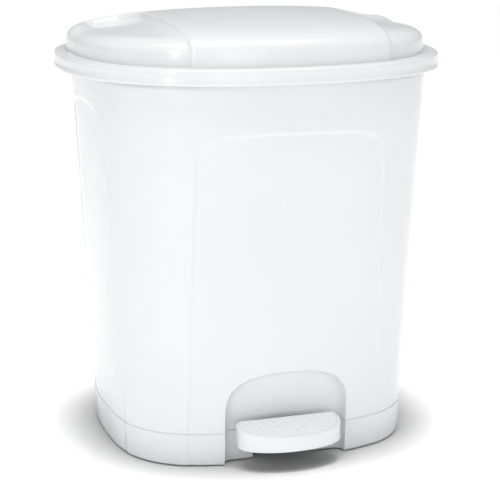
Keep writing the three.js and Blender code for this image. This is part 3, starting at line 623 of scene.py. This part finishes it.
lid = {
    "halfWidth": 186.0, "ledge": 12.0, "ratio": 152.0 / 167.0, "roundness": 2.4, "skirtFoot": 372.0,
    "ledgeTop": 386.5, "wall": 2.5, "edgeRound": 2.4, "sharp": 60.0,
    "sideRise": 30.0, "crownRise": 10.0, "domeBend": 6.0, "backFall": 8.0, "backRun": 152.0,
    "wingDrop": 6.5, "wingInset": 2.4, "wingScoop": 2.2, "wingFront": 3.0, "wingEnd": 62.0, "wingCorner": 34.0,
    "bandHalf": 96.0, "bandSlope": 2.6, "bandFoot": -0.4, "scoopRun": 24.0,
    "sideEndFrom": 0.0, "sideEndTo": 45.0, "frontFrom": -125.0, "frontTo": 25.0,
    "meanHalfWidth": 170.0, "meanHalfDepth": 155.0, "frontStep": 1.9, "sideStep": 2.3, "cornerStep": 1.9,
    "bead": [(-2.5, 0.0), (-0.4, 0.0), (0.48, 0.15), (0.8, 0.8), (0.8, 2.08), (0.4, 2.88), (0.0, 3.52)],
    "domeFoot": [(3.0, 0.0), (1.0, 0.15), (0.35, 0.5)],
    "heelHalf": 6.3, "heelBody": 5.9, "heelSide": 130.0, "heelTop": 399.0, "heelLow": 383.0, "heelBack": 147.0,
    "knuckleFrom": 41.5, "knuckleTo": 58.5, "knuckleSide": 150.0, "knuckleTop": 380.5,
}


def wingDistance(x, y, inset):
    # how far a point lies inside a wing, whose inner back corner is rounded
    qx, qy, r = np.abs(x) - lid["bandHalf"] + inset, lid["wingEnd"] + inset - y, lid["wingCorner"]
    gx, gy = np.maximum(r - qx, 0.0), np.maximum(r - qy, 0.0)
    return r - np.hypot(gx, gy)


def domeHeight(x, y, inset):
    # side wall and crown as powers of the distance out; the wings stand lower and are scooped a little, and
    # the whole dome falls away towards the back
    size = lid
    half = size["halfWidth"] - size["ledge"] - inset
    into = wingDistance(x, y, inset)
    out = np.clip(planShare(x, y, half, half * size["ratio"], size["roundness"]), 0.0, 1.0)
    sideEnd = smooth(size["sideEndFrom"], size["sideEndTo"], y) * smooth(0.82, 0.95, out)
    wing = smooth(size["bandFoot"], size["bandSlope"], into) * (1.0 - sideEnd)
    up = (1.0 - out ** size["domeBend"]) ** (1.0 / size["domeBend"])
    towardsBack = smooth(size["frontFrom"], size["frontTo"], y)
    hollow = smooth(0.0, size["scoopRun"], into) * smooth(1.0, 0.8, out)
    deeper = (size["wingDrop"] - size["wingFront"]) * towardsBack
    depth = size["wingFront"] + deeper + size["wingScoop"] * hollow
    z = size["ledgeTop"] + (size["sideRise"] - inset - wing * depth) * up + size["crownRise"] * (1.0 - out ** 2)
    lean = smooth(size["ledgeTop"], size["ledgeTop"] + size["sideRise"], z)
    return z - lean * size["backFall"] * smooth(0.0, size["backRun"], y), wing


def domeGrid(angles, outs, inset):
    # the plan's outline shrunk towards the middle, lifted by the dome's height; the wings' sides step in
    half, out = lid["halfWidth"] - lid["ledge"] - inset, outs[:, None]
    x, y = planPoint(angles[None, :], half * out, half * lid["ratio"] * out, lid["roundness"])
    z, wing = domeHeight(x, y, inset)
    sideways = wing * smooth(0.9, 0.97, out) * lid["wingInset"] / half
    return np.stack([x * (1.0 - sideways), y * (1.0 - sideways), z], -1)


def isLidDetail(middle, corners):
    # the heel, its nose and the two knuckles
    x, y, z = middle.T
    size, half = lid, lid["halfWidth"] - lid["wall"]
    inside = planShare(x, y, half, half * size["ratio"], size["roundness"]) < 0.999
    shown = (np.abs(x) > size["heelBody"]) | (z < size["heelLow"]) | (y < size["heelBack"])
    heel = (np.abs(x) < size["heelHalf"]) & (y > size["heelSide"]) & (z < size["heelTop"]) & shown
    across = (np.abs(x) > size["knuckleFrom"]) & (np.abs(x) < size["knuckleTo"])
    knuckle = across & (y > size["knuckleSide"]) & (z < size["knuckleTop"])
    return (heel | knuckle) & inside


def makeLid():
    # one profile carried round the plan: out along the dome's inside, under the ledge, round the skirt's foot
    # and its bead, over the ledge and up the dome
    size = lid
    angles = planAngles(
        size["meanHalfWidth"], size["meanHalfDepth"], size["roundness"],
        size["frontStep"], size["sideStep"], size["cornerStep"])
    wide, foot, top, wall, edge = (size[k] for k in ("halfWidth", "skirtFoot", "ledgeTop", "wall", "edgeRound"))
    domeHalf = wide - size["ledge"]

    def ring(half, z):
        x, y = planPoint(angles, half, half * size["ratio"], size["roundness"])
        return np.stack([x, y, np.full_like(x, z)], -1)[None]

    # shares of the way out: a few in the middle, close over the bands, closest on the side wall
    rimOuts = np.sin(np.linspace(0.0, 1.0, 26) * math.pi / 2) ** 0.28
    middleOuts = [[0.0], np.linspace(0.02, 0.5, 18), np.linspace(0.508, 0.86, 44)]
    outs = np.concatenate(middleOuts + [rimOuts[rimOuts > 0.867]])
    wallOuts = outs[(outs > 0.87) & (outs < 0.998)]
    insideOuts = np.concatenate([[0.999], wallOuts[::-1][::2], np.linspace(0.85, 0.04, 20), [0.0]])

    underLedge = [ring(domeHalf - wall, top - wall), ring(wide - wall, top - wall)]
    skirt = [ring(wide + out, foot + up) for out, up in size["bead"]]
    skirt.append(ring(wide, top - edge - 3.0))
    turns = np.linspace(0.0, math.pi / 2, 7)
    skirt += [ring(wide - edge + edge * math.cos(t), top - edge + edge * math.sin(t)) for t in turns]
    skirt += [ring(domeHalf + out, top + up) for out, up in size["domeFoot"]]
    inside, outside = domeGrid(angles, insideOuts, wall), domeGrid(angles, outs[::-1], 0.0)
    grid = np.concatenate([inside[::-1]] + underLedge + skirt + [outside])
    faces = gridFaces(*grid.shape[:2])
    points, faces = joined((grid.reshape(-1, 3), faces), cadTriangles("lid", isLidDetail))
    addPiece("lidSkin", points, faces, "lid", whiteGloss, size["sharp"], ("lid",))


makeLid()

# The pedal's tread and its grip marks

tread = {
    "halfWidth": 52.0, "backY": -125.0, "depth": 38.0, "sideRun": 12.0, "backZ": 44.0, "frontZ": 35.0,
    "lipFoot": 20.7, "wall": 3.0, "edgeRound": 2.2, "cornerRound": 7.0, "rimWidth": 2.6, "rimHeight": 0.9,
    "centreIn": 15.0, "frontPoints": 90, "cornerPoints": 8, "backPoints": 24,
    "underShrinks": (0.0, 0.6, 1.0), "fieldShrinks": (0.85, 0.6, 0.3, 0.0),
    "bossX": 14.0, "bossY": -141.0, "bossHalfX": 5.2, "bossHalfY": 5.3, "bossUnder": 3.2, "sharp": 30.0,
}
treadSlope = (tread["backZ"] - tread["frontZ"]) / tread["depth"]

# the tread's sunken field takes painted shade, a cooler grey by its depth under the rim
whiteTread = glossPlastic(
    "whiteTread", tint(0.82, 0.828, 0.834), tint(0.8, 0.809, 0.818), 0.2, peel=0.6, scuffTop=0.012,
    sunkenShade=(tread["backZ"], tread["backY"], treadSlope))
# painted highlight: the grip marks are the tread's own plastic, made a brighter copy of it to stand in for the
# light they catch
markPaintedHighlight = glossPlastic(
    "markPaintedHighlight", tint(0.93, 0.935, 0.938), tint(0.91, 0.915, 0.92), 0.2, peel=0.4, scuffTop=0.02)


def treadTop(y):
    # the plane of the rim, which slopes down to the front
    return tread["backZ"] - (tread["backZ"] - tread["frontZ"]) * (tread["backY"] - y) / tread["depth"]


def treadOutline():
    # a straight back edge, short straight sides, and half an ellipse in front, with the back corners rounded
    size = tread
    half, back, run, r = size["halfWidth"], size["backY"], size["sideRun"], size["cornerRound"]
    arc = np.linspace(0.0, math.pi, size["frontPoints"])
    front = np.stack([-half * np.cos(arc), back - run - (size["depth"] - run) * np.sin(arc)], -1)
    turn = np.linspace(0.0, math.pi / 2, size["cornerPoints"])
    right = np.stack([half - r + r * np.cos(turn), back - r + r * np.sin(turn)], -1)
    left = np.stack([-half + r - r * np.sin(turn), back - r + r * np.cos(turn)], -1)
    across = np.linspace(half - r, -half + r, size["backPoints"])[1:-1]
    straight = np.stack([across, np.full(len(across), back)], -1)
    return np.concatenate([front, right, straight, left])


def insetOutline(outline, amount):
    # each point moves in along the outline's own normal
    run = np.roll(outline, -1, axis=0) - np.roll(outline, 1, axis=0)
    run /= np.linalg.norm(run, axis=1, keepdims=True)
    return outline + np.stack([-run[:, 1], run[:, 0]], -1) * amount


def isTreadBoss(middle, corners):
    # the two screw bosses under the tread
    x, y, z = middle.T
    across = np.abs(np.abs(x) - tread["bossX"]) < tread["bossHalfX"]
    along = np.abs(y - tread["bossY"]) < tread["bossHalfY"]
    return across & along & (z < treadTop(y) - tread["bossUnder"])


def makeTread():
    # rings of the outline: under the plate, down the lip's inside, up its outside, over the rounded edge and
    # the rim, and down to a field that is sunk by the rim's height
    size = tread
    outline = treadOutline()
    centre = np.array([0.0, size["backY"] - size["centreIn"]])
    isBack = smooth(size["backY"] - size["cornerRound"] - 3.0, size["backY"] - 1.5, outline[:, 1])
    r, wall, inner, deep = size["edgeRound"], size["wall"], size["rimWidth"], -size["rimHeight"]
    below = -wall - 0.2
    top = treadTop(outline[:, 1])
    lipFoot = size["lipFoot"] * (1.0 - isBack) + (top - wall - 0.2) * isBack

    def ring(inset, lift=0.0, z=None, shrink=1.0):
        flat = insetOutline(outline, inset)
        flat = centre + (flat - centre) * shrink
        height = treadTop(flat[:, 1]) + lift if z is None else z
        return np.column_stack([flat, height])[None]

    under = [ring(wall, below, shrink=k) for k in size["underShrinks"]]
    under += [ring(wall, z=lipFoot + 0.4), ring(wall - 0.5, z=lipFoot)]
    outer = [ring(0.5, z=lipFoot), ring(0.0, z=lipFoot + 0.5), ring(0.0, z=lipFoot * 0.5 + (top - r) * 0.5)]
    edge = [ring(r - r * math.sin(t), -r + r * math.cos(t)) for t in np.linspace(math.pi / 2, 0.0, 6)]
    rim = [ring(r + 0.2), ring(r + 0.5)]
    field = [ring(inner + 0.4, deep * 0.35), ring(inner + 1.0, deep)]
    field += [ring(inner + 1.0, deep, shrink=k) for k in size["fieldShrinks"]]
    grid = np.concatenate(under + outer + edge + rim + field)
    faces = gridFaces(*grid.shape[:2])
    points, faces = joined((grid.reshape(-1, 3), faces), cadTriangles("pedal_tread", isTreadBoss))
    addPiece("treadSkin", points, faces, "pedal", whiteTread, size["sharp"], ("pedal_tread",))


marks = {
    "length": 6.2, "width": 2.3, "height": 0.9, "row": 4.3, "pitch": 9.4, "rimGap": 4.6, "sharp": 60.0,
    "backGap": 4.2, "frontGap": 5.0, "reach": 60.0, "corners": 12, "taper": 0.4,
    "rings": [(1.0, -0.4), (0.98, 0.25), (0.78, 0.8), (0.4, 1.0), (0.0, 1.0)],
}


def markSpots():
    # staggered rows that stay inside the rim, whose half width follows the front's ellipse
    size, half = marks, tread["halfWidth"]
    spots = []
    backRow = tread["backY"] - size["backGap"]
    frontRow = tread["backY"] - tread["depth"] + size["frontGap"]
    for i, y in enumerate(np.arange(backRow, frontRow, -size["row"])):
        side = np.arange(0.0 if i % 2 else size["pitch"] / 2, size["reach"], size["pitch"])
        x = np.unique(np.concatenate([-side[::-1], side]))
        spots.append(np.column_stack([x, np.full(len(x), y)]))
    spots = np.concatenate(spots)
    sideEnd = tread["backY"] - tread["sideRun"]
    along = (sideEnd - spots[:, 1]) / (tread["depth"] - tread["sideRun"])
    halfAt = np.where(spots[:, 1] > sideEnd, half, half * np.sqrt(np.clip(1 - along ** 2, 0, 1)))
    return spots[np.abs(spots[:, 0]) < halfAt - size["rimGap"] - size["length"] / 2 + 1.0]


def makeGripMarks():
    # one low lozenge, a pointed ellipse raised in rings, repeated on the sunken field
    size, spots = marks, markSpots()
    angle = np.arange(size["corners"]) * 2 * math.pi / size["corners"]
    x = np.cos(angle) * size["length"] / 2 * np.abs(np.cos(angle)) ** size["taper"]
    shape = np.stack([x, np.sin(angle) * size["width"] / 2], -1)
    levels = [np.full(len(shape), up * size["height"]) for _, up in size["rings"]]
    mark = np.concatenate([np.column_stack([shape * k, z]) for (k, _), z in zip(size["rings"], levels)])
    foot = treadTop(spots[:, 1]) - tread["rimHeight"]
    points = mark[None] + np.column_stack([spots, foot])[:, None, :]
    points[:, :, 2] += treadSlope * mark[None, :, 1]
    starts = np.arange(len(spots)) * len(mark)
    faces = (gridFaces(len(size["rings"]), size["corners"])[None] + starts[:, None, None]).reshape(-1, 4)
    # the marks take the brighter copy of the tread's plastic, a painted highlight
    addPiece("gripMarks", points.reshape(-1, 3), faces, "pedal", markPaintedHighlight, size["sharp"])


makeTread()
makeGripMarks()

# The bucket and its bail

bucket = {
    "footHalf": 110.0, "topHalf": 146.5, "rimHalf": 149.5, "footZ": 61.3, "topZ": 370.5, "wall": 2.0,
    "rimThick": 2.5, "forward": 2.0, "roundness": 2.95, "beadRound": 0.9, "footRound": 6.0, "floorHalf": 60.0,
    "meanHalfWidth": 130.0, "meanHalfDepth": 118.0, "step": 3.4, "wallRows": 24, "sharp": 34.0,
    "earFrom": 140.0, "earHalf": 8.6,
}


def isBucketEar(middle, corners):
    # the two ears that stand above the rim
    across = np.abs(middle[:, 0]) > bucket["earFrom"]
    along = np.abs(middle[:, 1] + bucket["forward"]) < bucket["earHalf"]
    return across & along & (corners[:, :, 2].max(axis=1) > bucket["topZ"] + 0.3)


def makeBucket():
    # one profile carried round the plan: the floor, the rounded foot, the wall, the rim, and back down inside
    size = bucket
    angles = planAngles(size["meanHalfWidth"], size["meanHalfDepth"], size["roundness"], *[size["step"]] * 3)
    foot, top, wall, r, bend = (size[k] for k in ("footZ", "topZ", "wall", "beadRound", "footRound"))
    under = top - size["rimThick"]

    def ring(half, z):
        width, depth = bodySize(z, 0.0)
        x, y = planPoint(angles, half, half * depth / width, size["roundness"])
        return np.stack([x, y - size["forward"], np.full_like(x, z)], -1)[None]

    def halfAt(z):
        return size["footHalf"] + (size["topHalf"] - size["footHalf"]) * (z - foot) / (under - foot)

    def footRings(turns, radius):
        middle = halfAt(foot) - bend
        return [ring(middle + radius * math.cos(t), foot + bend + radius * math.sin(t)) for t in turns]

    turns = np.linspace(-math.pi / 2, 0.0, 6)
    heights = np.linspace(foot + bend, under, size["wallRows"])
    rings = [ring(0.0, foot), ring(size["floorHalf"], foot)] + footRings(turns, bend)
    rings += [ring(halfAt(z), z) for z in heights]
    rings += [
        ring(size["rimHalf"] - r, under),
        ring(size["rimHalf"], under + r),
        ring(size["rimHalf"], top - r),
        ring(size["rimHalf"] - r, top),
        ring(size["topHalf"] - wall + r, top),
        ring(size["topHalf"] - wall, top - r),
    ]
    rings += [ring(halfAt(z) - wall, z) for z in heights[::-1][1:]]
    rings += footRings(turns[::-1], bend - wall)
    rings += [ring(size["floorHalf"], foot + wall), ring(0.0, foot + wall)]
    grid = np.concatenate(rings)
    faces = gridFaces(*grid.shape[:2])
    points, faces = joined((grid.reshape(-1, 3), faces), cadTriangles("inner_bucket", isBucketEar))
    addPiece(
        "bucketSkin", points, faces, "bucket", whiteBucket, size["sharp"], ("inner_bucket",))


makeBucket()

bail = {
    "wire": 1.8, "halfWidth": 154.3, "reach": 127.0, "z": 372.6, "roundness": 2.95, "endX": 142.9,
    "endAngle": 0.06, "pathPoints": 180, "wireSides": 16, "bendFrom": 3.0, "bendTo": 0.9, "sharp": 40.0,
    "gripRadius": 4.5, "gripHalf": 34.0, "gripPoints": 120, "gripSides": 20, "boreGap": 0.25,
    "waves": 13, "waveDepth": 0.07, "waveEnd": 0.85, "endRun": 0.05, "endDepth": 0.75,
}


def bailPath(angle):
    # half of the bucket's rounded outline, lying flat in front of the ears
    x = bail["halfWidth"] * bulge(np.cos(angle), bail["roundness"])
    y = -bucket["forward"] - bail["reach"] * np.abs(bulge(np.sin(angle), bail["roundness"]))
    return np.stack([x, y, np.full_like(x, bail["z"])], -1)


def makeBail():
    # the outline's half, with a short straight end turned in through each ear
    size = bail
    arc = bailPath(np.linspace(size["endAngle"], math.pi - size["endAngle"], size["pathPoints"]))
    x, y, z = bailPath(np.array([0.0]))[0]
    bend = [x - size["bendTo"], y - size["bendTo"], z]
    rightEnd = np.array([[size["endX"], y, z], [x - size["bendFrom"], y, z], bend])
    leftEnd = rightEnd[::-1] * [-1.0, 1.0, 1.0]
    path = np.concatenate([rightEnd[:1], rightEnd, arc, leftEnd, leftEnd[-1:]])
    radii = np.full(len(path), size["wire"])
    radii[0] = radii[-1] = 0.0
    points, faces = tube(path, np.gradient(path, axis=0), radii, size["wireSides"])
    addPiece("bailWire", points, faces, "bail", steelAcross, size["sharp"], ("bucket_bail",))


def makeGrip():
    # shallow rings over the middle and rounded ends, and then back through the bore that the wire fills
    size = bail
    half = math.asin((size["gripHalf"] / size["halfWidth"]) ** (size["roundness"] / 2))
    path = bailPath(np.linspace(math.pi / 2 - half, math.pi / 2 + half, size["gripPoints"]))
    run = np.gradient(path, axis=0)
    along = np.linspace(-1.0, 1.0, size["gripPoints"])
    waves = (0.5 + 0.5 * np.cos(along * math.pi * size["waves"])) * (np.abs(along) < size["waveEnd"])
    ends = np.clip((1.0 - np.abs(along)) / size["endRun"], 0.0, 1.0)
    rounding = np.sqrt(1.0 - (1.0 - ends) ** 2 * size["endDepth"])
    radii = size["gripRadius"] * (1.0 - size["waveDepth"] * waves) * rounding
    bore = np.full(3, size["wire"] + size["boreGap"])
    middle = size["gripPoints"] // 2

    def closed(line):
        return np.concatenate([line[:1], line, line[-1:], line[middle:middle + 1], line[:1]])

    radii = np.concatenate([bore[:1], radii, bore])
    points, faces = tube(closed(path), closed(run), radii, size["gripSides"])
    addPiece("bailGrip", points, faces, "bail", whiteBucket, size["sharp"], ("bail_grip",))


makeBail()
makeGrip()

# Small parts keep their own shapes

smallFinishes = {
    "lever_pivot_pin": steelAcross, "hinge_pin": steelAcross,
    "push_rod": steelUpright, "base_screw": steelUpright, "pedal_screw": steelUpright,
    "pedal_lever": greyMoulded, "pin_keeper": greyMoulded,
    "rod_cap": darkNylon, "rod_foot": darkNylon,
    "foot_pad": padRubber,
}
for name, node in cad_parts.items():
    for start, finish in smallFinishes.items():
        if name.startswith(start):
            node.data.materials.clear()
            node.data.materials.append(finish)
print("small parts finished")

# The floor and the light, in metres, watts and degrees

studio = {
    "sky": 0.45, "floorReach": 20.0, "floorShade": 0.5, "floorFade": 0.995, "floorNoise": 3.0,
    "floorRough": 0.9, "floorSun": 4.8, "sunSpread": 13.0,
    "keyLamp": {"place": (-0.2, -2.1, 0.65), "aim": (0.0, 0.0, 0.15), "size": (1.0, 0.9), "power": 3.0},
    "fillLamp": {"place": (1.9, -1.0, 1.0), "aim": (0.0, 0.0, 0.2), "size": (1.4, 1.6), "power": 0.3},
    "topLamp": {"place": (-0.1, -0.35, 2.2), "aim": (0.0, 0.0, 0.2), "size": (1.8, 1.4), "power": 27.0},
    "stripLamp": {"place": (-1.6, -1.5, 0.95), "aim": (0.0, 0.0, 0.25), "size": (0.3, 1.3), "power": 6.0},
}


def addLamp(name, place, aim, size, power):
    # a rectangle of light turned to face its aim
    lamp = bpy.data.lights.new(name, "AREA")
    lamp.shape = "RECTANGLE"
    lamp.size, lamp.size_y = size
    lamp.energy = power
    holder = bpy.data.objects.new(name, lamp)
    holder.location = place
    x, y, z = (a - p for a, p in zip(aim, place))
    holder.rotation_euler = (math.atan2(math.hypot(x, y), -z), 0.0, math.atan2(y, x) - math.pi / 2)
    bpy.context.scene.collection.objects.link(holder)


def makeFloor():
    # a flat square of pale matt ground
    reach, shade = studio["floorReach"], studio["floorShade"]
    faded = shade * studio["floorFade"]
    plain, dim = tint(shade, shade, shade), tint(faded, faded, faded)
    corners = [(-reach, -reach, 0.0), (reach, -reach, 0.0), (reach, reach, 0.0), (-reach, reach, 0.0)]
    mesh = bpy.data.meshes.new("studioFloor")
    mesh.from_pydata(corners, [], [(0, 1, 2, 3)])
    f = Finish("studioFloor")
    f.put(Base_Color=f.blend(f.noise(studio["floorNoise"]), plain, dim))
    f.put(Roughness=studio["floorRough"])
    mesh.materials.append(f.material)
    floor = bpy.data.objects.new("studioFloor", mesh)
    bpy.context.scene.collection.objects.link(floor)
    return floor


def makeLight(floor):
    # an even white sky and four lamps
    world = bpy.data.worlds.new("studioSky")
    world.use_nodes = True
    sky = world.node_tree.nodes["Background"].inputs
    sky["Color"].default_value = tint(1.0, 1.0, 1.0)
    sky["Strength"].default_value = studio["sky"]
    bpy.context.scene.world = world
    bpy.context.scene.view_settings.view_transform = "Standard"
    for name in ("keyLamp", "fillLamp", "topLamp", "stripLamp"):
        addLamp(name, **studio[name])
    # a broad light from straight above that only the floor takes, for a white ground with a soft shadow
    sun = bpy.data.lights.new("floorSun", "SUN")
    sun.energy, sun.angle = studio["floorSun"], math.radians(studio["sunSpread"])
    holder = bpy.data.objects.new("floorSun", sun)
    bpy.context.scene.collection.objects.link(holder)
    onlyFloor = bpy.data.collections.new("onlyFloor")
    onlyFloor.objects.link(floor)
    holder.light_linking.receiver_collection = onlyFloor


makeCamera()
makeLight(makeFloor())
print("studio set")
